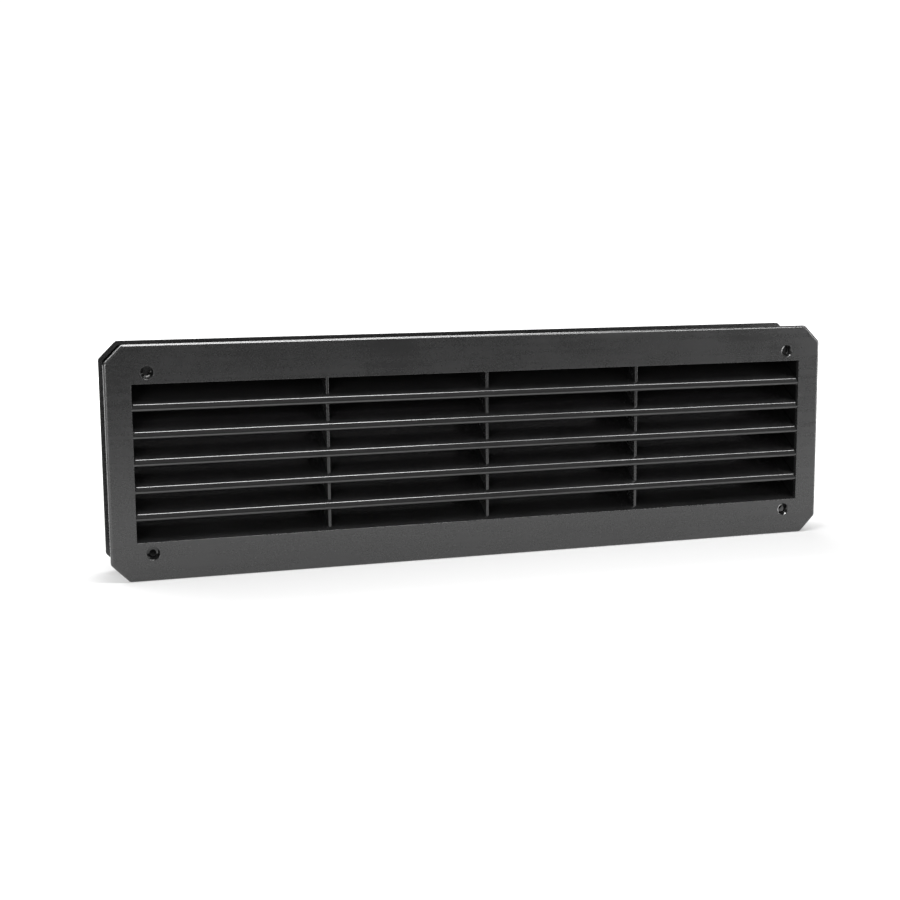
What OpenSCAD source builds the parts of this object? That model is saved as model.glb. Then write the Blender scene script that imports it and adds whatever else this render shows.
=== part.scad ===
// Louvred air grille in two telescoping halves, for a door or a thin wall.
// Millimetres. +Z is up, X runs along the grille, the front face looks to -Y.
// The origin is the middle of the footprint, under the bottom edges of both faceplates.

/* [Faceplates] */
// Width of both faceplates
plate_w = 456; // [440:1:470]
// Height of both faceplates
plate_h = 136; // [132:1:142]
// Thickness of a faceplate at its rim
plate_t = 3; // [2.8:0.1:3.6]
// Cut taken off each corner, measured along both edges
corner_cut = 10.4; // [9.4:0.5:12.9]
// Rounding of the outer front edge
edge_r = 1.9; // [1.6:0.1:2.3]
// Width of the border left and right of the opening
border_x = 15; // [14:0.5:17]
// Width of the border above and below the opening
border_z = 22.5; // [21:0.5:23.5]
// Depth of the relief moulded into the door side of a faceplate
relief_d = 1; // [0.6:0.1:1.2]
// Width of the rim that bears on the door around the relief
rim_w = 2.5; // [2:0.1:3]

/* [Screw holes] */
// Distance between the left and right screw holes
screw_x = 408; // [400:1:412]
// Distance between the upper and lower screw holes
screw_z = 104; // [103:0.5:106]
// Diameter of the screw holes
screw_d = 4; // [3.5:0.1:4.4]
// Diameter of the conical screw recesses at the face
sink_d = 7.8; // [7:0.1:8]
// Depth of the screw recesses
sink_depth = 2.7; // [2.3:0.1:2.7]

/* [Sleeves] */
// Gap between the faceplates with the halves pushed together, the thinnest door
door_t = 33; // [32:0.5:36]
// Thickness of the sleeve walls
wall = 2; // [1.6:0.1:2]
// Clearance all round between the two sleeves
slide_gap = 0.4; // [0.3:0.05:0.5]
// Gap left between the end of the front sleeve and the rear faceplate
end_gap = 1; // [0.6:0.1:2]

/* [Louvres] */
// Height of the lower lip of the top louvre below the top of the front opening
first_lip = 15.7; // [15.2:0.1:16.4]
// Clear height under the bottom louvre in the front opening
last_gap = 12.3; // [12:0.1:13]
// How far the louvre noses sit behind the face
nose_back = 0.3; // [0.2:0.1:0.6]
// Upward slope of a louvre towards the middle of the grille, in degrees
louvre_angle = 31; // [28:0.5:31]
// How far the top of a nose leans back behind its lip
nose_lean = 0.6; // [0.5:0.1:0.9]
// Height of a nose above its lip
nose_h = 4.5; // [4.2:0.1:4.7]
// Radius of the upper edge of the nose
nose_top_r = 1.4; // [1.1:0.1:1.5]
// Radius of the lower lip
lip_r = 1.5; // [1.2:0.1:1.6]
// Thickness of a louvre at its inner edge
louvre_t = 1.8; // [1.6:0.1:2]
// How much lower the rear louvres sit than the front ones
rear_drop = 1.1; // [1:0.1:1.4]
// Flat land between the face and the foot of the sill louvre
sill_land = 1.3; // [1:0.1:2]

/* [Stiffening ribs] */
// Distance between neighbouring ribs
rib_pitch = 99.4; // [96:0.2:104]
// Thickness of a rib
rib_t = 1.8; // [1.6:0.1:2.4]
// How far the ribs sit behind the face
rib_back = 4; // [3.6:0.1:5]
// Width of the strip that ties a rib together behind the louvres
rib_spine = 2; // [1.6:0.1:2]

/* [Hidden] */
$fn = 64;
eps = 0.01;

// Height of the middle of the grille above the surface it stands on
mid_z = plate_h / 2;
// Distance from the middle plane to each outer face
face_y = door_t / 2 + plate_t;
// Front opening, which is also the inside of the front sleeve
open_w = plate_w - 2 * border_x;
open_h = plate_h - 2 * border_z;
// Rear opening, which is also the inside of the rear sleeve
rear_w = open_w - 2 * slide_gap - 2 * wall;
rear_h = open_h - 2 * slide_gap - 2 * wall;
louvre_pitch = (open_h - first_lip - last_gap) / 4;
// Inner edges of the louvres, measured from the middle plane
front_inner = 1;
rear_inner = 3.5;

plastic = [0.13, 0.13, 0.135];
plastic_inner = [0.10, 0.10, 0.105];

// Height of the lower lip of louvre n, 1 at the top, above the floor
function lip_z(n, drop) = mid_z + open_h / 2 - first_lip - (n - 1) * louvre_pitch - drop;

// Points along an arc of radius r about c, from angle a0 to a1 in n steps
function arc(c, r, a0, a1, n) =
    [for (i = [0 : n]) c + r * [cos(a0 + (a1 - a0) * i / n), sin(a0 + (a1 - a0) * i / n)]];

// A slab of thickness t whose two long front edges are rounded; the face looks to -Y
module soft_slab(w, len, t, r) {
    linear_extrude(height = len, center = true)
        union() {
            translate([-w / 2, -(t - r)]) square([w, t - r]);
            translate([-w / 2 + r, -t]) square([w - 2 * r, t]);
            for (s = [-1, 1]) translate([s * (w / 2 - r), -(t - r)]) circle(r);
        }
}

// Outline of a faceplate drawn in by d, with its cut corners
module plate_outline(d) {
    hw = plate_w / 2 - d;
    hh = plate_h / 2 - d;
    c = corner_cut - d * 0.586;
    polygon([[-hw + c, -hh], [hw - c, -hh], [hw, -hh + c], [hw, hh - c],
             [hw - c, hh], [-hw + c, hh], [-hw, hh - c], [-hw, -hh + c]]);
}

// Relief on the door side: land around the sleeve, bosses at the screws and cross webs stay
module relief(ow, oh) {
    land = wall + 1.5;
    difference() {
        plate_outline(rim_w);
        square([ow + 2 * land, oh + 2 * land], center = true);
        for (sx = [-1, 1], sz = [-1, 1])
            translate([sx * screw_x / 2, sz * screw_z / 2]) circle(5.5);
        for (i = [-3 : 3]) translate([i * rib_pitch / 2, 0]) square([1.5, plate_h], center = true);
        square([plate_w, 1.5], center = true);
    }
}

// A faceplate with its face at -Y and its door side at y = 0, centred on the opening
module faceplate(ow, oh) {
    diag = (plate_w / 2 + plate_h / 2 - corner_cut) * sqrt(2);
    difference() {
        intersection() {
            soft_slab(plate_w, plate_h + 10, plate_t, edge_r);
            rotate([0, 90, 0]) soft_slab(plate_h, plate_w + 10, plate_t, edge_r);
            rotate([0, 45, 0]) soft_slab(diag, 500, plate_t, edge_r);
            rotate([0, -45, 0]) soft_slab(diag, 500, plate_t, edge_r);
        }
        cube([ow, 4 * plate_t, oh], center = true);
        for (sx = [-1, 1], sz = [-1, 1])
            translate([sx * screw_x / 2, 0, sz * screw_z / 2]) rotate([90, 0, 0]) {
                translate([0, 0, -1]) cylinder(d = screw_d, h = plate_t + 2);
                translate([0, 0, plate_t - sink_depth])
                    cylinder(d1 = screw_d, d2 = sink_d, h = sink_depth);
            }
        translate([0, 1, 0]) rotate([90, 0, 0])
            linear_extrude(height = 1 + relief_d) relief(ow, oh);
    }
}

// A rectangular sleeve with inside ow by oh, running from y = 0 to y = len
module sleeve(ow, oh, len) {
    translate([0, len, 0]) rotate([90, 0, 0])
        linear_extrude(height = len) difference() {
            square([ow + 2 * wall, oh + 2 * wall], center = true);
            square([ow, oh], center = true);
        }
}

// Section of a louvre: x is the depth behind the nose, y the height above the lower lip
module louvre_section(depth) {
    a = louvre_angle;
    ct = [nose_lean + nose_top_r, nose_h - nose_top_r];
    cb = [lip_r, lip_r];
    // the upper surface, from the rounded top of the nose to the inner edge
    t0 = ct + nose_top_r * [-sin(a), cos(a)];
    t1 = [depth, t0[1] + tan(a) * (depth - t0[0])];
    // the underside, a little steeper so that the louvre thins towards its inner edge
    u1 = [depth, t1[1] - louvre_t / cos(a)];
    d = norm(u1 - cb);
    b = atan2(u1[1] - cb[1], u1[0] - cb[0]) + asin(lip_r / d);
    // the front of the nose is the common tangent of both roundings
    e = norm(ct - cb);
    g = atan2(ct[1] - cb[1], ct[0] - cb[0]) + asin((nose_top_r - lip_r) / e);
    polygon(concat(arc(cb, lip_r, 270 + b, 90 + g, 10), arc(ct, nose_top_r, 90 + g, 90 + a, 10),
                   [t1, u1]));
}

// A front louvre, its nose at -Y, between the two sides of the opening
module louvre(n, w, depth, drop) {
    translate([-w / 2, -face_y + nose_back, lip_z(n, drop)])
        rotate([90, 0, 90]) linear_extrude(height = w) louvre_section(depth);
}

// Section of the sill louvre, which has no nose and rises from the bottom of the opening
module sill_section(depth) {
    m = tan(louvre_angle);
    tv = louvre_t / cos(louvre_angle);
    polygon([[sill_land, 0], [sill_land + tv / m + 0.4, 0],
             [depth, m * (depth - sill_land) - tv], [depth, m * (depth - sill_land)]]);
}

// A sill louvre with its foot on the bottom wall of an opening h high
module sill_louvre(w, h, inner) {
    translate([-w / 2, -face_y, mid_z - h / 2])
        rotate([90, 0, 90]) linear_extrude(height = w) sill_section(face_y - inner);
}

// A stiffening rib: a comb whose slots hold the louvres
module rib(x, h, inner, drop) {
    depth = face_y - nose_back - inner;
    y0 = -face_y + rib_back;
    difference() {
        translate([x - rib_t / 2, y0, mid_z - h / 2])
            cube([rib_t, -inner + rib_spine - y0, h]);
        for (n = [1 : 5])
            translate([x - rib_t, -face_y + nose_back, lip_z(n, drop)])
                rotate([90, 0, 90]) linear_extrude(height = 2 * rib_t) louvre_section(depth);
        translate([x - rib_t, -face_y, mid_z - h / 2]) rotate([90, 0, 90])
            linear_extrude(height = 2 * rib_t) sill_section(face_y - inner);
    }
}

module front_faceplate() {
    color(plastic) translate([0, -door_t / 2, mid_z]) faceplate(open_w, open_h);
}
module rear_faceplate() {
    color(plastic) mirror([0, 1, 0])
        translate([0, -door_t / 2, mid_z]) faceplate(rear_w, rear_h);
}
module front_sleeve() {
    color(plastic_inner) translate([0, -door_t / 2, mid_z])
        sleeve(open_w, open_h, door_t - end_gap);
}
module rear_sleeve() {
    color(plastic_inner) mirror([0, 1, 0]) translate([0, -door_t / 2, mid_z])
        sleeve(rear_w, rear_h, door_t / 2 - rear_inner + rib_spine);
}
module front_louvre(n) {
    color(plastic) louvre(n, open_w, face_y - nose_back - front_inner, 0);
}
module rear_louvre(n) {
    color(plastic) mirror([0, 1, 0])
        louvre(n, rear_w, face_y - nose_back - rear_inner, rear_drop);
}
module front_sill_louvre() {
    color(plastic) sill_louvre(open_w, open_h, front_inner);
}
module rear_sill_louvre() {
    color(plastic) mirror([0, 1, 0]) sill_louvre(rear_w, rear_h, rear_inner);
}
module front_rib(i) {
    color(plastic_inner) rib(i * rib_pitch, open_h, front_inner, 0);
}
module rear_rib(i) {
    color(plastic_inner) mirror([0, 1, 0])
        rib(i * rib_pitch, rear_h, rear_inner, rear_drop);
}

front_faceplate();
front_sleeve();
front_louvre(1);  // front_louvre_1
front_louvre(2);  // front_louvre_2
front_louvre(3);  // front_louvre_3
front_louvre(4);  // front_louvre_4
front_louvre(5);  // front_louvre_5
front_sill_louvre();
front_rib(-1);  // front_rib_left
front_rib(0);  // front_rib_centre
front_rib(1);  // front_rib_right
rear_faceplate();
rear_sleeve();
rear_louvre(1);  // rear_louvre_1
rear_louvre(2);  // rear_louvre_2
rear_louvre(3);  // rear_louvre_3
rear_louvre(4);  // rear_louvre_4
rear_louvre(5);  // rear_louvre_5
rear_sill_louvre();
rear_rib(-1);  // rear_rib_left
rear_rib(0);  // rear_rib_centre
rear_rib(1);  // rear_rib_right
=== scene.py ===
import bpy, bmesh, math
import numpy as np
from mathutils import Matrix, Vector
from mathutils.geometry import delaunay_2d_cdt


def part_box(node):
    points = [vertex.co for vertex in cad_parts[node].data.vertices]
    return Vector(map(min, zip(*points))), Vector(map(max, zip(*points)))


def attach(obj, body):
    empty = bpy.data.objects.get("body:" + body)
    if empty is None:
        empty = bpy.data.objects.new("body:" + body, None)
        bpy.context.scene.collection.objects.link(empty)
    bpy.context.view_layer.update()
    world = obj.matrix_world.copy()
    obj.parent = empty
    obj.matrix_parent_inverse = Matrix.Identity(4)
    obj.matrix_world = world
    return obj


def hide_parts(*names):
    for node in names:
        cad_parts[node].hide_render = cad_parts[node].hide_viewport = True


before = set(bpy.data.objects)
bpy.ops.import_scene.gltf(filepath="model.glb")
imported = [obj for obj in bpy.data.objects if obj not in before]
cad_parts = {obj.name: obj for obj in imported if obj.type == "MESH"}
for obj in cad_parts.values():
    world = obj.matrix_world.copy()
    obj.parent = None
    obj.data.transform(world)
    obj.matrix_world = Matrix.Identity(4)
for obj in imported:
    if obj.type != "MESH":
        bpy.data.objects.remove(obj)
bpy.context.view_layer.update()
MM = 0.001

# ------------------------------------------------------------------ sizes from the frame, in mm
def size_of(node):
    lo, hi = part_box(node)
    return [c / MM for c in lo], [c / MM for c in hi]

plate_lo, plate_hi = size_of("front_faceplate")
rear_lo, rear_hi = size_of("rear_faceplate")
PLATE_W = plate_hi[0] - plate_lo[0]
PLATE_H = plate_hi[2] - plate_lo[2]
PLATE_T = plate_hi[1] - plate_lo[1]
FACE_Y = -plate_lo[1]
MID_Z = (plate_lo[2] + plate_hi[2]) / 2
BACK_Y = FACE_Y - PLATE_T
sl_lo, sl_hi = size_of("front_sleeve")
rs_lo, rs_hi = size_of("rear_sleeve")
lv = {h: [size_of(f"{h}_louvre_{i}") for i in range(1, 6)] for h in ("front", "rear")}
sill = {h: size_of(f"{h}_sill_louvre") for h in ("front", "rear")}
OPEN = {}
for h in ("front", "rear"):
    w = lv[h][0][1][0] - lv[h][0][0][0]
    bottom = sill[h][0][2]
    OPEN[h] = (w, 2 * (MID_Z - bottom))
WALL = (sl_hi[0] - sl_lo[0] - OPEN["front"][0]) / 2
CORNER = 10.4
EDGE_R = 1.9
SCREW_X, SCREW_Z, SCREW_D, SINK_D, SINK_DEPTH = 408.0, 104.0, 4.0, 7.8, 2.7
RELIEF_D, RIM_W = 1.0, 2.5
RIB_PITCH = (size_of("front_rib_right")[0][0] + size_of("front_rib_right")[1][0]) / 2

# ------------------------------------------------------------------ mesh helpers
def mesh_object(name, verts, faces, smooth=True, edge=None):
    me = bpy.data.meshes.new(name)
    me.from_pydata([tuple(c * MM for c in v) for v in verts], [], faces)
    if edge is not None:
        me.attributes.new("edge", "FLOAT", "POINT").data.foreach_set("value", edge)
    bm = bmesh.new(); bm.from_mesh(me)
    bmesh.ops.recalc_face_normals(bm, faces=bm.faces[:])
    bm.to_mesh(me); bm.free()
    for p in me.polygons:
        p.use_smooth = smooth
    ob = bpy.data.objects.new(name, me)
    bpy.context.scene.collection.objects.link(ob)
    return ob

def bake(ob):
    """Applies every modifier of ob to its mesh."""
    dg = bpy.context.evaluated_depsgraph_get()
    dg.update()
    me = bpy.data.meshes.new_from_object(ob.evaluated_get(dg))
    old = ob.data
    ob.modifiers.clear()
    ob.data = me
    me.name = ob.name
    bpy.data.meshes.remove(old)

def subtract(ob, *cutters):
    for c in cutters:
        m = ob.modifiers.new("cut", "BOOLEAN")
        m.operation = "DIFFERENCE"
        m.solver = "EXACT"
        m.object = c
        bake(ob)
    for c in cutters:
        me = c.data
        bpy.data.objects.remove(c)
        bpy.data.meshes.remove(me)

def tidy(ob, limit=1e-4):
    """Merges doubles and dissolves the needless edges that a boolean leaves on flat faces."""
    bm = bmesh.new(); bm.from_mesh(ob.data)
    bmesh.ops.remove_doubles(bm, verts=bm.verts[:], dist=2e-6)
    bmesh.ops.dissolve_degenerate(bm, edges=bm.edges[:], dist=1e-6)
    bmesh.ops.dissolve_limit(bm, angle_limit=math.radians(0.3), verts=bm.verts[:], edges=bm.edges[:])
    bmesh.ops.recalc_face_normals(bm, faces=bm.faces[:])
    bm.to_mesh(ob.data); bm.free()

def cut_corner_loop(d, r_corner=2.9, seg=8):
    """The faceplate outline, centred on (0, 0), drawn in by d, with its eight corners rounded."""
    hw, hh = PLATE_W / 2, PLATE_H / 2
    c = CORNER
    pts = [(-hw + c, -hh), (hw - c, -hh), (hw, -hh + c), (hw, hh - c), (hw - c, hh), (-hw + c, hh), (-hw, hh - c), (-hw, -hh + c)]
    out = []
    n = len(pts)
    for i in range(n):
        p = Vector(pts[i]); a = (Vector(pts[i - 1]) - p).normalized(); b = (Vector(pts[(i + 1) % n]) - p).normalized()
        half = a.angle(b) / 2
        bis = (a + b).normalized()
        centre = p + bis * (r_corner / math.sin(half))
        na = Vector((-a.y, a.x)); nb = Vector((b.y, -b.x))
        # outward normals of the edges before and after the corner
        if na.dot(-bis) < 0: na = -na
        if nb.dot(-bis) < 0: nb = -nb
        a0 = math.atan2(na.y, na.x); a1 = math.atan2(nb.y, nb.x)
        while a1 - a0 > math.pi: a1 -= 2 * math.pi
        while a1 - a0 < -math.pi: a1 += 2 * math.pi
        for k in range(seg + 1):
            t = a0 + (a1 - a0) * k / seg
            out.append((centre.x + (r_corner - d) * math.cos(t), centre.y + (r_corner - d) * math.sin(t)))
    return out

def place(ob, half):
    """Local plate space (door side at y = 0, face at -y, centred) to the row frame."""
    s = 1 if half == "front" else -1
    m = Matrix(((1, 0, 0, 0), (0, s, 0, -s * BACK_Y * MM), (0, 0, 1, MID_Z * MM), (0, 0, 0, 1)))
    ob.data.transform(m)
    if s < 0:
        ob.data.flip_normals()

# ------------------------------------------------------------------ faceplates
class Shell:
    """Collects faces over shared vertices; every vertex carries how exposed to wear it is, or, below zero, that it lies
    in a recess where shade is painted into the base colour.
    """
    def __init__(self):
        self.verts, self.faces, self.edge, self.index = [], [], [], {}
    def v(self, x, y, z, e=0.0):
        k = (round(x, 4), round(y, 4), round(z, 4))
        if k not in self.index:
            self.index[k] = len(self.verts)
            self.verts.append((x, y, z)); self.edge.append(e)
        else:
            self.edge[self.index[k]] = max(self.edge[self.index[k]], e)
        return self.index[k]
    def f(self, ids):
        ids = [i for n, i in enumerate(ids) if i != ids[n - 1]]
        if len(set(ids)) >= 3:
            self.faces.append(ids)
    def loft(self, loops):
        """loops: lists of (x, y, z, e), all of one length and closed."""
        ids = [[self.v(*q) for q in lp] for lp in loops]
        n = len(ids[0])
        for k in range(len(ids) - 1):
            for i in range(n):
                j = (i + 1) % n
                self.f([ids[k][i], ids[k][j], ids[k + 1][j], ids[k + 1][i]])
    def object(self, name):
        me = bpy.data.meshes.new(name)
        me.from_pydata([tuple(c * MM for c in v) for v in self.verts], [], self.faces)
        bm = bmesh.new(); bm.from_mesh(me)
        bmesh.ops.recalc_face_normals(bm, faces=bm.faces[:])
        bad = [e for e in bm.edges if len(e.link_faces) != 2]
        if bad:
            print("OPEN", name, len(bad), [tuple(round(c * 1000, 3) for c in bad[0].verts[0].co)])
        bm.to_mesh(me); bm.free()
        me.attributes.new("edge", "FLOAT", "POINT").data.foreach_set("value", self.edge)
        ob = bpy.data.objects.new(name, me)
        bpy.context.scene.collection.objects.link(ob)
        return ob

def set_normals(ob, smooth=42.0):
    """Shading normals: each corner takes the area-weighted mean of the flat regions round its
    vertex that lie within the smoothing angle, so large flats stay flat and roundings stay round."""
    me = ob.data
    nf, nl = len(me.polygons), len(me.loops)
    fn = np.empty(nf * 3); me.polygons.foreach_get("normal", fn); fn = fn.reshape(-1, 3)
    area_ = np.empty(nf); me.polygons.foreach_get("area", area_)
    lvi = np.empty(nl, dtype=np.int64); me.loops.foreach_get("vertex_index", lvi)
    lei = np.empty(nl, dtype=np.int64); me.loops.foreach_get("edge_index", lei)
    lt = np.empty(nf, dtype=np.int64); me.polygons.foreach_get("loop_total", lt)
    lf = np.repeat(np.arange(nf), lt)
    parent = list(range(nf))
    def find(i):
        while parent[i] != i:
            parent[i] = parent[parent[i]]
            i = parent[i]
        return i
    eo = np.argsort(lei, kind="stable")
    same = lei[eo][1:] == lei[eo][:-1]
    fa, fb_ = lf[eo][:-1][same], lf[eo][1:][same]
    flat = (fn[fa] * fn[fb_]).sum(axis=1) > math.cos(math.radians(0.12))
    for i, j in zip(fa[flat].tolist(), fb_[flat].tolist()):
        parent[find(i)] = find(j)
    comp = np.array([find(i) for i in range(nf)])
    ca = np.bincount(comp, weights=area_, minlength=nf)
    order = np.argsort(lvi, kind="stable")
    count = np.bincount(lvi, minlength=len(me.vertices))
    start = np.cumsum(count) - count
    lc = comp[lf]
    _, inv, per = np.unique(lvi * np.int64(nf) + lc, return_inverse=True, return_counts=True)
    weight = ca[lc] / per[inv]                       # one share per flat region round the vertex
    reps = count[lvi]
    l1 = np.repeat(np.arange(nl), reps)
    off = np.arange(len(l1)) - np.repeat(np.cumsum(reps) - reps, reps)
    l2 = order[np.repeat(start[lvi], reps) + off]
    n1, n2 = fn[lf[l1]], fn[lf[l2]]
    near = (n1 * n2).sum(axis=1) >= math.cos(math.radians(smooth))
    out = np.zeros((nl, 3))
    for k in range(3):
        out[:, k] = np.bincount(l1[near], weights=(weight[l2] * n2[:, k])[near], minlength=nl)
    out /= np.maximum(np.linalg.norm(out, axis=1), 1e-20)[:, None]
    for p_ in me.polygons:
        p_.use_smooth = True
    me.normals_split_custom_set([tuple(v) for v in out])

def round_rect(hw, hh, r, seg=6):
    out = []
    for cx, cz, a0 in ((hw - r, -hh + r, -90), (hw - r, hh - r, 0), (-hw + r, hh - r, 90), (-hw + r, -hh + r, 180)):
        for k in range(seg + 1):
            a = math.radians(a0 + 90 * k / seg)
            out.append((cx + r * math.cos(a), cz + r * math.sin(a)))
    return out

def circle(cx, cz, r, n=64):
    return [(cx + r * math.cos(2 * math.pi * i / n), cz + r * math.sin(2 * math.pi * i / n)) for i in range(n)]

def inside(pts, loop):
    """Which points lie inside a closed loop (even-odd rule)."""
    x, y = pts[:, 0], pts[:, 1]
    r = np.zeros(len(pts), dtype=bool)
    n = len(loop)
    for i in range(n):
        x0, y0 = loop[i]; x1, y1 = loop[(i + 1) % n]
        c = (y0 > y) != (y1 > y)
        if y1 != y0:
            r ^= c & (x < (x1 - x0) * (y - y0) / (y1 - y0) + x0)
    return r

def triangulate(loops, points=()):
    verts, edges = [], []
    for lp in loops:
        b = len(verts)
        verts += [Vector(q) for q in lp]
        edges += [(b + i, b + (i + 1) % len(lp)) for i in range(len(lp))]
    verts += [Vector(q) for q in points]
    given = [q for lp in loops for q in lp] + list(points)
    vs, _, fs, ov, _, _ = delaunay_2d_cdt(verts, edges, [], 0, 1e-5)
    pts = np.array([given[o[0]] if o else (v.x, v.y) for v, o in zip(vs, ov)])
    tris = [list(t) for t in fs]
    cen = np.array([pts[t].mean(axis=0) for t in tris])
    return pts, tris, cen

def build_faceplate(half):
    ow, oh = OPEN[half]
    t, r = PLATE_T, EDGE_R
    sh = Shell()
    # outer edge, door side to face
    rings = [(-0.2 * (1 - math.cos(a)), 0.2 * (1 - math.sin(a))) for a in np.linspace(0, math.pi / 2, 4)]
    nf = 14
    wear = lambda q: math.sin(2 * q) ** 2
    ring3 = [(y, d, 0.25) for y, d in rings]
    ring3 += [(-(t - r) - r * math.sin(a), r * (1 - math.cos(a)), wear(a)) for a in np.linspace(0, math.pi / 2, nf + 1)]
    sh.loft([[(x, y, z, e) for x, z in cut_corner_loop(d)] for y, d, e in ring3])
    holes = [(sx * SCREW_X / 2, sz * SCREW_Z / 2) for sx in (-1, 1) for sz in (-1, 1)]
    ro, rc = 0.22, 0.3
    # opening edge, face to door side
    prof = [(-t + ro * (1 - math.cos(a)), ro * (1 - math.sin(a)), 0.5) for a in np.linspace(0, math.pi / 2, 5)] + [(0.0, 0.0, 0.0)]
    sh.loft([[(x, y, z, e) for x, z in round_rect(ow / 2 + g, oh / 2 + g, rc + g)] for y, g, e in prof])
    # screw holes with their recesses, face to door side
    rs, rh, yc = SINK_D / 2, SCREW_D / 2, -(t - SINK_DEPTH)
    rr, ac = 0.32, math.atan2(SINK_DEPTH, rs - rh)
    rk = rs - (1 - math.cos(ac)) * rr * (rs - rh) / SINK_DEPTH
    hp = [(-t + rr * (1 - math.cos(a)), rk + rr * (math.sin(ac) - math.sin(a)), 0.5 * math.sin(2 * a)) for a in np.linspace(0, ac, 7)]
    # edge -1 marks the recess and bore rings below the rim, where shade is painted into the base colour
    hp += [(-t + 0.4, rs - 0.4 * (rs - rh) / SINK_DEPTH, -1.0), (yc - 0.03, rh + 0.03, -1.0), (yc + 0.05, rh, -1.0), (-0.12, rh, -1.0), (-0.04, rh + 0.03, -1.0), (0.0, rh + 0.12, 0.0)]
    for cx, cz in holes:
        sh.loft([[(x, y, z, e) for x, z in circle(cx, cz, q)] for y, q, e in hp])
    # the face itself
    outline, opening = cut_corner_loop(r), round_rect(ow / 2 + ro, oh / 2 + ro, rc + ro)
    rims = [circle(cx, cz, hp[0][1]) for cx, cz in holes]
    soft = [cut_corner_loop(r + 0.6), round_rect(ow / 2 + ro + 0.7, oh / 2 + ro + 0.7, rc + ro + 0.7)] + [circle(cx, cz, hp[0][1] + 0.6, 48) for cx, cz in holes]
    gx, gz = np.meshgrid(np.arange(-PLATE_W / 2 + 4, PLATE_W / 2 - 3, 7.0), np.arange(-PLATE_H / 2 + 4, PLATE_H / 2 - 3, 6.4))
    grid = np.stack([gx.ravel(), gz.ravel()], 1)
    ok = inside(grid, cut_corner_loop(r + 2.0)) & ~inside(grid, round_rect(ow / 2 + 2.5, oh / 2 + 2.5, 2.5))
    for cx, cz in holes:
        ok &= np.hypot(grid[:, 0] - cx, grid[:, 1] - cz) > hp[0][1] + 2.0
    pts, tris, cen = triangulate([outline, opening] + rims + soft, [tuple(g) for g in grid[ok]])
    good = inside(cen, outline) & ~inside(cen, opening)
    for q in rims:
        good &= ~inside(cen, q)
    for k, tr in enumerate(tris):
        if good[k]:
            sh.f([sh.v(pts[i][0], -t, pts[i][1]) for i in tr])
    # door side: a rim, a land round the collar, screw bosses and stiffening webs stand 1 mm proud of a relieved floor
    land = WALL + 1.5
    outline = cut_corner_loop(0.2)
    pocket = cut_corner_loop(RIM_W, r_corner=4.5)
    opening = round_rect(ow / 2, oh / 2, rc)
    lands = [round_rect(ow / 2 + land, oh / 2 + land, 1.2)]
    rect = lambda x0, x1, z0, z1: [(x0, z0), (x1, z0), (x1, z1), (x0, z1)]
    u0, u1 = oh / 2 + land - 0.6, PLATE_H / 2 - RIM_W + 0.6
    w0, w1 = ow / 2 + land - 0.6, PLATE_W / 2 - RIM_W + 0.6
    webs = []
    for i in range(-3, 4):
        c = i * RIB_PITCH / 2
        webs += [rect(c - 0.75, c + 0.75, u0, u1), rect(c - 0.75, c + 0.75, -u1, -u0)]
    webs += [rect(w0, w1, -0.75, 0.75), rect(-w1, -w0, -0.75, 0.75)]
    bosses = [circle(cx, cz, 5.5, 48) for cx, cz in holes]
    mouths = [circle(cx, cz, rh + 0.12) for cx, cz in holes]
    pts, tris, cen = triangulate([outline, pocket, opening] + lands + webs + bosses + mouths)
    good = inside(cen, outline) & ~inside(cen, opening)
    for q in mouths:
        good &= ~inside(cen, q)
    low = inside(cen, pocket)
    for q in lands + webs + bosses:
        low &= ~inside(cen, q)
    level = {}
    for k, tr in enumerate(tris):
        if not good[k]:
            continue
        # the relieved floor gets edge -1, where shade is painted into the base colour
        y = -RELIEF_D if low[k] else 0.0
        sh.f([sh.v(pts[i][0], y, pts[i][1], -1.0 if low[k] else 0.0) for i in tr])
        for m in range(3):
            i, j = tr[m], tr[(m + 1) % 3]
            level.setdefault((min(i, j), max(i, j)), []).append((low[k], i, j))
    # the step walls down to the relieved floor get edge -1 at their foot, where shade is painted into the base colour
    for (i, j), fs in level.items():
        if len(fs) == 2 and fs[0][0] != fs[1][0]:
            (x0, z0), (x1, z1) = pts[i], pts[j]
            sh.f([sh.v(x0, 0.0, z0), sh.v(x1, 0.0, z1), sh.v(x1, -RELIEF_D, z1, -1.0), sh.v(x0, -RELIEF_D, z0, -1.0)])
    ob = sh.object(f"{half}_faceplate_shell")
    place(ob, half)
    set_normals(ob)
    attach(ob, f"{half}_half")
    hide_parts(f"{half}_faceplate")
    return ob

# ------------------------------------------------------------------ louvres
NOSE_LEAN, NOSE_H, NOSE_TOP_R, LIP_R, LOUVRE_T, LOUVRE_A = 0.6, 4.5, 1.4, 1.5, 1.8, 31.0

def arc(c, r, a0, a1, n):
    return [(c[0] + r * math.cos(math.radians(a0 + (a1 - a0) * i / n)), c[1] + r * math.sin(math.radians(a0 + (a1 - a0) * i / n))) for i in range(n + 1)]

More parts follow.
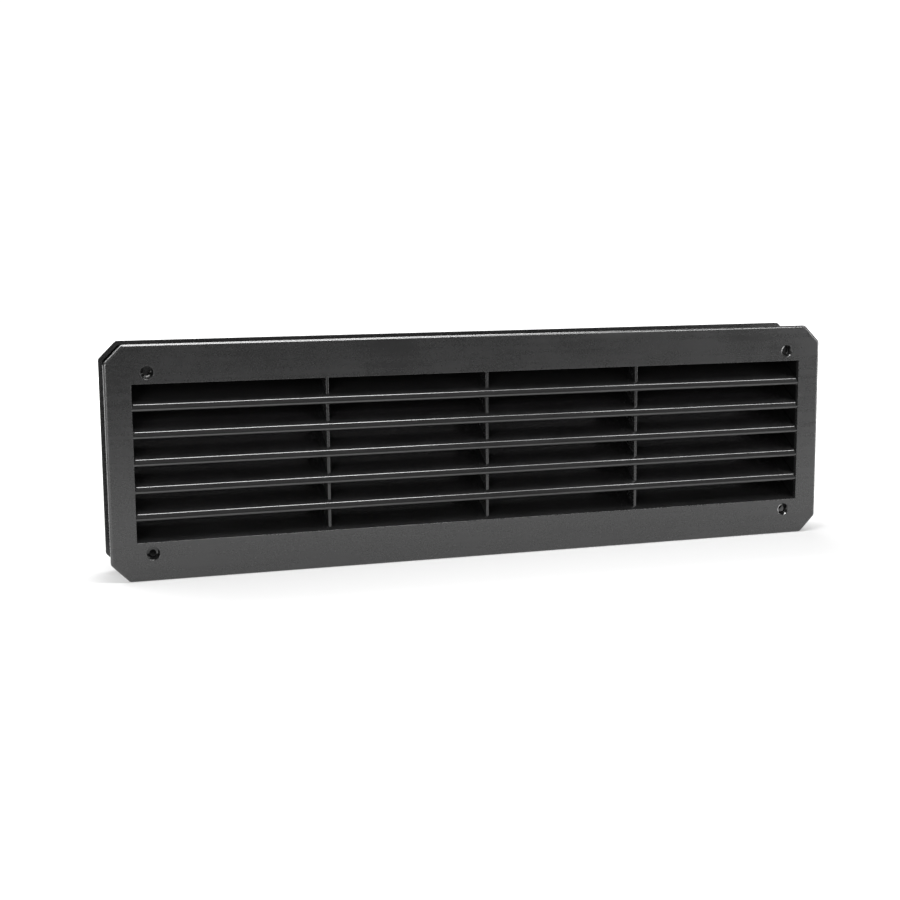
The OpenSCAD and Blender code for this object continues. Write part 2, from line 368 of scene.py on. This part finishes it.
def louvre_section(depth):
    a = LOUVRE_A
    ct = (NOSE_LEAN + NOSE_TOP_R, NOSE_H - NOSE_TOP_R)
    cb = (LIP_R, LIP_R)
    ta = math.tan(math.radians(a))
    t0 = (ct[0] - NOSE_TOP_R * math.sin(math.radians(a)), ct[1] + NOSE_TOP_R * math.cos(math.radians(a)))
    t1 = (depth, t0[1] + ta * (depth - t0[0]))
    u1 = (depth, t1[1] - LOUVRE_T / math.cos(math.radians(a)))
    d = math.dist(u1, cb)
    b = math.degrees(math.atan2(u1[1] - cb[1], u1[0] - cb[0]) + math.asin(LIP_R / d))
    e = math.dist(ct, cb)
    g = math.degrees(math.atan2(ct[1] - cb[1], ct[0] - cb[0]) + math.asin((NOSE_TOP_R - LIP_R) / e))
    low = arc(cb, LIP_R, 270 + b, 90 + g, 14)
    top = arc(ct, NOSE_TOP_R, 90 + g, 90 + a, 14)
    # softened inner edges
    r = 0.35
    inner = [(t1[0] - r * math.cos(math.radians(a)), t1[1] - r * math.sin(math.radians(a))), (t1[0] - 0.08, t1[1] - 0.1), (t1[0], t1[1] - r),
             (u1[0], u1[1] + r), (u1[0] - 0.08, u1[1] + 0.06), (u1[0] - r, u1[1] - 0.7 * r)]
    return low + top + inner

def stations(w, dense=(), step=6.0):
    xs = set(np.round(np.linspace(-w / 2, w / 2, int(w / step) + 1), 4).tolist())
    for e in (0.0, 0.15, 0.3, 0.5, 0.75, 1.0, 1.3, 1.7):
        xs.add(round(-w / 2 + e, 4)); xs.add(round(w / 2 - e, 4))
    for c in dense:
        for e in (-3, -1.6, -0.9, 0, 0.9, 1.6, 3):
            xs.add(round(c + e, 4))
    return sorted(xs)

def sweep(name, section, half, y_front, z0, w, seed, wave=0.03, round_ends=True):
    """Sweeps a section along X. Mould shrinkage makes it wander by a few hundredths of a millimetre."""
    ribs = [-RIB_PITCH, 0.0, RIB_PITCH]
    xs = stations(w, ribs)
    rng = np.random.default_rng(seed)
    ph = rng.uniform(0, 2 * math.pi, 6)
    s = 1 if half == "front" else -1
    n = len(section)
    verts, faces, worn = [], [], []
    for x in xs:
        dz = wave * (math.sin(x / 41.0 + ph[0]) + 0.6 * math.sin(x / 17.0 + ph[1]))
        dy = wave * (math.sin(x / 33.0 + ph[2]) + 0.5 * math.sin(x / 13.0 + ph[3]))
        # sink marks where the ribs are moulded on behind the nose
        sink = sum(math.exp(-((x - c) / 1.6) ** 2) for c in ribs) * 0.05
        fade = min(1.0, (w / 2 - abs(x)) / 8.0)
        e = min(1.0, (w / 2 - abs(x)) / 1.3)
        q = 1 - math.sqrt(max(0.0, 1 - (1 - e) ** 2)) if round_ends else 0.0
        for u, v in section:
            top = max(0.0, min(1.0, (v - 1.6) / 1.6)) * max(0.0, min(1.0, (4.5 - u) / 2.5))
            nose = max(0.0, min(1.0, (3.0 - u) / 3.0))
            uu = u + nose * (dy * fade + sink) + top * q * 0.8
            vv = v + dz * fade * nose - top * q * 0.7
            verts.append((x, s * (-y_front + uu), z0 + vv))
            worn.append(top * 0.8 if u < 3.2 else 0.0)
    m = len(xs)
    for k in range(m - 1):
        for i in range(n):
            j = (i + 1) % n
            faces.append([k * n + i, k * n + j, (k + 1) * n + j, (k + 1) * n + i])
    faces.append([i for i in range(n)])
    faces.append([(m - 1) * n + i for i in range(n)])
    return mesh_object(name, verts, faces, edge=worn)

def build_louvres(half):
    made = []
    w, oh = OPEN[half]
    for i in range(1, 6):
        lo, hi = lv[half][i - 1]
        depth = hi[1] - lo[1]
        nose = -lo[1] if half == "front" else hi[1]
        ob = sweep(f"{half}_louvre_{i}_slat", louvre_section(depth), half, nose, lo[2], w, 10 * i + (0 if half == "front" else 5))
        set_normals(ob)
        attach(ob, f"{half}_half"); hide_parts(f"{half}_louvre_{i}")
        made.append(ob)
    lo, hi = sill[half]
    land = FACE_Y - (-lo[1] if half == "front" else hi[1])
    depth = hi[1] - lo[1]
    m = math.tan(math.radians(LOUVRE_A)); tv = LOUVRE_T / math.cos(math.radians(LOUVRE_A))
    top = m * depth
    # from the foot up the lit slope, over the softened inner edge and back down the underside
    sec = [(tv / m + 0.4, 0.0), (1.5, 0.0), (0.25, 0.0), (0.05, 0.04), (0.3, 0.19)]
    sec += [(depth * k / 10, m * depth * k / 10) for k in range(1, 10)]
    sec += [(depth - 0.3, top - 0.18), (depth - 0.06, top - 0.12), (depth, top - 0.35), (depth, top - tv + 0.35), (depth - 0.07, top - tv + 0.08), (depth - 0.35, top - tv - 0.2)]
    ob = sweep(f"{half}_sill_slat", sec, half, FACE_Y - land, lo[2], w, 77, wave=0.0, round_ends=False)
    set_normals(ob)
    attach(ob, f"{half}_half"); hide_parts(f"{half}_sill_louvre")
    made.append(ob)
    return made

# ------------------------------------------------------------------ ribs
def sill_section_raw(depth, land):
    m = math.tan(math.radians(LOUVRE_A)); tv = LOUVRE_T / math.cos(math.radians(LOUVRE_A))
    return [(land, 0), (land + tv / m + 0.4, 0), (depth, m * (depth - land) - tv), (depth, m * (depth - land))]

def section_prism(name, section, half, y_front, z0, x0, x1):
    s = 1 if half == "front" else -1
    n = len(section)
    verts = [(x0, s * (-y_front + u), z0 + v) for u, v in section] + [(x1, s * (-y_front + u), z0 + v) for u, v in section]
    faces = [[i, (i + 1) % n, n + (i + 1) % n, n + i] for i in range(n)] + [list(range(n))[::-1], [n + i for i in range(n)]]
    return mesh_object(name, verts, faces, False)

def build_ribs(half):
    made = []
    s = 1 if half == "front" else -1
    for side in ("left", "centre", "right"):
        lo, hi = size_of(f"{half}_rib_{side}")
        x0, x1, z0, z1 = lo[0], hi[0], lo[2], hi[2]
        ya = lo[1] if half == "front" else -hi[1]       # distance coordinates, outer edge negative
        yb = hi[1] if half == "front" else -lo[1]
        # plan section with a rounded outer edge
        r = 0.45
        xm = (x0 + x1) / 2
        h2 = (x1 - x0) / 2
        plan = [(-h2, yb), (h2, yb)]
        plan += [(h2 - r + r * math.cos(a), ya + r - r * math.sin(a)) for a in np.linspace(0, math.pi / 2, 6)]
        plan += [(-h2 + r - r * math.sin(a), ya + r - r * math.cos(a)) for a in np.linspace(0, math.pi / 2, 6)]
        n = len(plan)
        verts = [(xm + px, s * py, z) for z in (z0, z1) for px, py in plan]
        faces = [[i, (i + 1) % n, n + (i + 1) % n, n + i] for i in range(n)] + [list(range(n))[::-1], [n + i for i in range(n)]]
        ob = mesh_object(f"{half}_rib_{side}_comb", verts, faces)
        cutters = []
        for i in range(1, 6):
            l, h = lv[half][i - 1]
            nose = -l[1] if half == "front" else h[1]
            cutters.append(section_prism(f"slot{i}", louvre_section(h[1] - l[1]), half, nose, l[2], x0 - 2, x1 + 2))
        l, h = sill[half]
        land = FACE_Y - (-l[1] if half == "front" else h[1])
        cutters.append(section_prism("slot6", sill_section_raw(h[1] - l[1] + land, land), half, FACE_Y, l[2], x0 - 2, x1 + 2))
        subtract(ob, *cutters)
        tidy(ob)
        set_normals(ob)
        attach(ob, f"{half}_half"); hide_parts(f"{half}_rib_{side}")
        made.append(ob)
    return made

# ------------------------------------------------------------------ sleeves
def build_sleeve(half):
    lo, hi = size_of(f"{half}_sleeve")
    w, h = hi[0] - lo[0], hi[2] - lo[2]
    length = hi[1] - lo[1]
    s = 1 if half == "front" else -1
    t = WALL
    lead = 0.7
    # (distance from the faceplate, outer offset, is outer)
    prof = [(0.0, 0.0, 1), (length - 1.2, 0.0, 1), (length - 0.45, 0.25, 1), (length - 0.12, 0.5, 1), (length, 0.8, 1),
            (length, t - 0.5, 1), (length - 0.15, t - 0.15, 1), (length - 0.5, t, 1), (0.0, t, 1)]
    loops = []
    for y, d, _ in prof:
        r = max(0.25, 1.6 - d * 0.65)
        loops.append([(x, y, z) for x, z in round_rect(w / 2 - d, h / 2 - d, r)])
    n = len(loops[0])
    verts = [v for lp in loops for v in lp]
    faces = []
    m = len(loops)
    for k in range(m):
        for i in range(n):
            j = (i + 1) % n
            k2 = (k + 1) % m
            faces.append([k * n + i, k * n + j, k2 * n + j, k2 * n + i])
    ob = mesh_object(f"{half}_sleeve_collar", [(x, s * (y - BACK_Y), z + MID_Z) for x, y, z in verts], faces)
    set_normals(ob)
    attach(ob, f"{half}_half"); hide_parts(f"{half}_sleeve")
    return ob

parts = {"plate": [], "louvre": [], "rib": [], "sleeve": []}
for half in ("front", "rear"):
    parts["plate"].append(build_faceplate(half))
    parts["louvre"] += build_louvres(half)
    parts["rib"] += build_ribs(half)
    parts["sleeve"].append(build_sleeve(half))

# ------------------------------------------------------------------ materials
def black_plastic(name, base=0.045, spread=0.012, rough=0.40, grain=1.0, streak=0.0, seed=0.0, specular=0.5, ior=1.6):
    m = bpy.data.materials.new(name)
    m.use_nodes = True
    nt = m.node_tree
    nt.nodes.clear()
    def nd(kind, **kw):
        x = nt.nodes.new(kind)
        for k, v in kw.items():
            setattr(x, k, v)
        return x
    out = nd("ShaderNodeOutputMaterial")
    bs = nd("ShaderNodeBsdfPrincipled")
    bs.inputs["IOR"].default_value = ior
    bs.inputs["Specular IOR Level"].default_value = specular
    nt.links.new(bs.outputs[0], out.inputs[0])
    tc = nd("ShaderNodeTexCoord")
    mp = nd("ShaderNodeMapping")
    mp.inputs["Location"].default_value = (seed, seed * 0.37, seed * 1.7)
    nt.links.new(tc.outputs["Object"], mp.inputs[0])
    def noise(scale, detail=3.0, rough_=0.5, vec=None, distortion=0.0):
        x = nd("ShaderNodeTexNoise")
        x.inputs["Scale"].default_value = scale
        x.inputs["Detail"].default_value = detail
        x.inputs["Roughness"].default_value = rough_
        x.inputs["Distortion"].default_value = distortion
        nt.links.new(vec or mp.outputs[0], x.inputs["Vector"])
        return x.outputs["Fac"]
    def math_(op, a, b=None, c=None):
        x = nd("ShaderNodeMath", operation=op)
        for i, v in enumerate((a, b, c)):
            if v is None: continue
            if isinstance(v, (int, float)): x.inputs[i].default_value = v
            else: nt.links.new(v, x.inputs[i])
        return x.outputs[0]
    def remap(v, a0, a1, b0, b1):
        x = nd("ShaderNodeMapRange")
        x.inputs["From Min"].default_value = a0; x.inputs["From Max"].default_value = a1
        x.inputs["To Min"].default_value = b0; x.inputs["To Max"].default_value = b1
        nt.links.new(v, x.inputs["Value"])
        return x.outputs[0]
    # flow streaks along the part's length, left by the plastic as it filled the mould
    st = nd("ShaderNodeMapping")
    st.inputs["Scale"].default_value = (0.035, 1.0, 1.0)
    st.inputs["Location"].default_value = (seed, 0.0, seed * 2.1)
    nt.links.new(tc.outputs["Object"], st.inputs[0])
    flow = noise(260.0, 4.0, 0.6, st.outputs[0], 0.3)
    cloud = noise(22.0, 4.0, 0.55)
    fine = noise(900.0, 2.0, 0.6)
    speck = noise(2600.0, 1.0, 0.4)
    at = nd("ShaderNodeAttribute", attribute_type="GEOMETRY", attribute_name="edge")
    wear = remap(at.outputs["Fac"], 0.25, 1.0, 0.0, 1.0)
    # mask of the recesses (edge below zero), used to paint shade into the base colour and to make the skin glossier
    shaded_recess_mask = remap(at.outputs["Fac"], -0.1, -0.7, 0.0, 1.0)
    scuff = math_("MULTIPLY", wear, remap(noise(120.0, 5.0, 0.7), 0.42, 0.66, 0.15, 1.0))
    tone = math_("ADD", remap(cloud, 0.3, 0.7, -0.5, 0.5), math_("MULTIPLY", remap(flow, 0.3, 0.7, -0.5, 0.5), streak))
    tone = math_("ADD", tone, remap(fine, 0.3, 0.7, -0.18, 0.18))
    val = math_("MULTIPLY_ADD", tone, spread, base)
    val = math_("MULTIPLY_ADD", scuff, 0.010, val)
    dust = remap(speck, 0.76, 0.82, 0.0, 0.012)
    val = math_("ADD", val, dust)
    # painted shade: base colour cut by up to 70% in the screw recesses and the door-side relief
    val = math_("MULTIPLY", val, math_("MULTIPLY_ADD", shaded_recess_mask, -0.7, 1.0))
    col = nd("ShaderNodeCombineColor")
    nt.links.new(val, col.inputs[0]); nt.links.new(val, col.inputs[1])
    nt.links.new(math_("MULTIPLY", val, 1.015), col.inputs[2])
    nt.links.new(col.outputs[0], bs.inputs["Base Color"])
    rg = math_("ADD", remap(cloud, 0.3, 0.7, rough - 0.025, rough + 0.025), remap(fine, 0.3, 0.7, -0.02, 0.02))
    rg = math_("MULTIPLY_ADD", remap(flow, 0.3, 0.7, -1.0, 1.0), 0.02 * (0.3 + streak), rg)
    rg = math_("MULTIPLY_ADD", scuff, -0.05, rg)
    # screw recesses and the relief on the door side (edge below zero) get a glossier skin; their darker base colour
    # above is painted shade
    rg = math_("MULTIPLY_ADD", shaded_recess_mask, -0.15, rg)
    nt.links.new(rg, bs.inputs["Roughness"])
    # moulded grain, over slow waves of the surface
    b1 = nd("ShaderNodeBump"); b1.inputs["Strength"].default_value = 0.35 * grain; b1.inputs["Distance"].default_value = 0.00003
    nt.links.new(noise(2200.0, 2.0, 0.6), b1.inputs["Height"])
    b2 = nd("ShaderNodeBump"); b2.inputs["Strength"].default_value = 0.5; b2.inputs["Distance"].default_value = 0.00006
    nt.links.new(noise(38.0, 2.0, 0.5), b2.inputs["Height"])
    nt.links.new(b2.outputs[0], b1.inputs["Normal"])
    nt.links.new(b1.outputs[0], bs.inputs["Normal"])
    return m

mats = {
    "plate": black_plastic("faceplate_black", base=0.014, spread=0.005, rough=0.28, grain=0.3, streak=0.9, seed=1.3, ior=1.70),
    "louvre": black_plastic("louvre_black", base=0.009, spread=0.003, rough=0.17, grain=0.2, streak=0.5, seed=4.1, ior=1.74),
    # the ribs take a darker base than the faceplate: painted shade for their sides inside the slots
    "rib": black_plastic("rib_black", base=0.010, spread=0.004, rough=0.28, grain=0.4, streak=0.0, seed=7.7, ior=1.66),
    # the sleeve takes a much darker base and weaker specular than the faceplate: painted shade for the inside of the
    # opening
    "sleeve": black_plastic("sleeve_black", base=0.004, spread=0.0015, rough=0.34, grain=0.8, streak=0.4, seed=9.2, specular=0.22, ior=1.5),
}
for kind, obs in parts.items():
    for ob in obs:
        ob.data.materials.clear()
        ob.data.materials.append(mats[kind])
cad_mat = {"faceplate": "plate", "louvre": "louvre", "rib": "rib", "sleeve": "sleeve"}
for n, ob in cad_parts.items():
    kind = next(v for k, v in cad_mat.items() if k in n)
    if not ob.material_slots:
        ob.data.materials.append(mats[kind])
    for slot in ob.material_slots:
        slot.material = mats[kind]

# ------------------------------------------------------------------ studio
LIGHT = {
    "near_3": 5.0, "near_4": 2.2, "near_m": 2.9, "fore_5": 3.9,
    "over_ml": 1.0, "over_back": 2.6,
    "right_low": 4.7, "front_right": 0.11, "left_front": 4.5,
    "sky_back": 0.0, "sky_front": 0.21, "table": 0.31,
}
KNOB = {}

def panel(name, loc, aim, sx, sy, unit):
    """A rectangular softbox; one unit is a radiance of one over its face."""
    l = bpy.data.lights.new(name, "AREA")
    l.shape = "RECTANGLE"; l.size = sx; l.size_y = sy
    full = math.pi * sx * sy * unit
    l.energy = full * LIGHT[name]
    o = bpy.data.objects.new(name, l)
    bpy.context.scene.collection.objects.link(o)
    o.location = loc
    o.rotation_mode = "QUATERNION"
    o.rotation_quaternion = (Vector(aim) - Vector(loc)).to_track_quat("-Z", "Y")
    KNOB[name] = (l, "energy", full)

for i in range(6):
    x = -0.85 + 0.4 * i
    for row, y, deep in (("near", -0.215, 0.33), ("fore", -0.530, 0.30)):
        if f"{row}_{i + 1}" in LIGHT:
            panel(f"{row}_{i + 1}", (x, y, 1.0), (x, y, 0.0), 0.4, deep, 4.0)
panel("near_m", (0.20, -0.215, 0.98), (0.20, -0.215, 0.0), 0.13, 0.33, 4.0)
panel("over_ml", (-0.56, 0.17, 1.0), (-0.56, 0.17, 0.0), 1.12, 0.44, 4.0)
panel("over_back", (-0.28, 0.70, 1.0), (-0.28, 0.70, 0.0), 1.64, 0.62, 4.0)
panel("right_low", (1.35, -0.60, 0.22), (0.1, 0.0, 0.07), 0.8, 0.4, 2.0)
panel("front_right", (0.95, -1.20, 0.28), (0.15, 0.0, 0.07), 0.7, 0.5, 2.0)
panel("left_front", (-1.10, -0.80, 0.30), (-0.1, 0.0, 0.07), 0.6, 0.5, 2.0)

floor_me = bpy.data.meshes.new("floor")
fb = bmesh.new()
vs = [fb.verts.new(c) for c in ((-1.6, -0.52, 0), (1.6, -0.52, 0), (1.6, 2.4, 0), (-1.6, 2.4, 0))]
fb.faces.new(vs); fb.to_mesh(floor_me); fb.free()
floor = bpy.data.objects.new("floor", floor_me)
bpy.context.scene.collection.objects.link(floor)
fm = bpy.data.materials.new("floor_white"); fm.use_nodes = True
fbs = fm.node_tree.nodes["Principled BSDF"]
fbs.inputs["Base Color"].default_value = (0.34, 0.34, 0.34, 1)
fbs.inputs["Roughness"].default_value = 0.9
fbs.inputs["Specular IOR Level"].default_value = 0.1
fbs.inputs["Emission Color"].default_value = (1, 1, 1, 1)
fn = fm.node_tree
ftc, fsep, fmr, fmul = (fn.nodes.new(k) for k in ("ShaderNodeTexCoord", "ShaderNodeSeparateXYZ", "ShaderNodeMapRange", "ShaderNodeMath"))
fmr.interpolation_type = "SMOOTHSTEP"
fmr.inputs["From Min"].default_value = 0.1; fmr.inputs["From Max"].default_value = 1.4
fmr.inputs["To Min"].default_value = 0.0; fmr.inputs["To Max"].default_value = 1.1
fn.links.new(ftc.outputs["Object"], fsep.inputs[0]); fn.links.new(fsep.outputs["Y"], fmr.inputs["Value"])
fmul.operation = "ADD"; fmul.inputs[1].default_value = LIGHT["table"]
fn.links.new(fmr.outputs[0], fmul.inputs[0]); fn.links.new(fmul.outputs[0], fbs.inputs["Emission Strength"])
KNOB["table"] = (fmul.inputs[1], "default_value", 1.0)
KNOB["far"] = (fmr.inputs["To Max"], "default_value", 1.1)
floor_me.materials.append(fm)

w = bpy.data.worlds.new("studio"); bpy.context.scene.world = w
w.use_nodes = True
wn = w.node_tree; wn.nodes.clear()
def wnode(kind, **kw):
    x = wn.nodes.new(kind)
    for k, v in kw.items():
        setattr(x, k, v)
    return x
wo = wnode("ShaderNodeOutputWorld")
bg_see, bg_lit, lp, mix = wnode("ShaderNodeBackground"), wnode("ShaderNodeBackground"), wnode("ShaderNodeLightPath"), wnode("ShaderNodeMixShader")
bg_see.inputs[0].default_value = (1, 1, 1, 1); bg_see.inputs[1].default_value = 1.1
wn.links.new(lp.outputs["Is Camera Ray"], mix.inputs[0])
wn.links.new(bg_lit.outputs[0], mix.inputs[1]); wn.links.new(bg_see.outputs[0], mix.inputs[2])
wn.links.new(mix.outputs[0], wo.inputs[0])
wtc, sep = wnode("ShaderNodeTexCoord"), wnode("ShaderNodeSeparateXYZ")
wn.links.new(wtc.outputs["Generated"], sep.inputs[0])
def ramp(axis, lo_, hi_):
    r_ = wnode("ShaderNodeMapRange", interpolation_type="SMOOTHSTEP")
    r_.inputs["From Min"].default_value = lo_; r_.inputs["From Max"].default_value = hi_
    r_.inputs["To Min"].default_value = 0.0; r_.inputs["To Max"].default_value = 1.0
    wn.links.new(sep.outputs[axis], r_.inputs["Value"])
    return r_.outputs[0]
total = None
for name, sock in (("sky_back", ramp("Y", 0.0, 0.3)), ("sky_front", ramp("Y", 0.1, -0.1))):
    mul = wnode("ShaderNodeMath", operation="MULTIPLY")
    wn.links.new(sock, mul.inputs[0]); mul.inputs[1].default_value = LIGHT[name]
    KNOB[name] = (mul.inputs[1], "default_value", 1.0)
    if total is None:
        total = mul.outputs[0]
    else:
        add = wnode("ShaderNodeMath", operation="ADD")
        wn.links.new(total, add.inputs[0]); wn.links.new(mul.outputs[0], add.inputs[1])
        total = add.outputs[0]
wn.links.new(total, bg_lit.inputs[1])

# ------------------------------------------------------------------ camera
CAM = (-289.98676777805395, -830.4579214096668, 125.05849682628413, 0.30856853066479045, 0.14371508762388227, -0.007380881293649483)
F_PX = 1456.2309561933422
yaw, pitch, roll = CAM[3:]
f = Vector((math.sin(yaw) * math.cos(pitch), math.cos(yaw) * math.cos(pitch), -math.sin(pitch)))
rgt = Vector((math.cos(yaw), -math.sin(yaw), 0.0))
up = rgt.cross(f)
r2 = math.cos(roll) * rgt + math.sin(roll) * up
u2 = -math.sin(roll) * rgt + math.cos(roll) * up
cd = bpy.data.cameras.new("camera")
cd.sensor_width = 36.0
cd.lens = F_PX / 900.0 * 36.0
cd.clip_start, cd.clip_end = 0.01, 50
co = bpy.data.objects.new("camera", cd)
bpy.context.scene.collection.objects.link(co)
co.matrix_world = Matrix(((r2.x, u2.x, -f.x, CAM[0] * MM), (r2.y, u2.y, -f.y, (CAM[1] - FACE_Y) * MM), (r2.z, u2.z, -f.z, (CAM[2] + MID_Z) * MM), (0, 0, 0, 1)))
bpy.context.scene.camera = co
bpy.context.scene.view_settings.view_transform = "Standard"
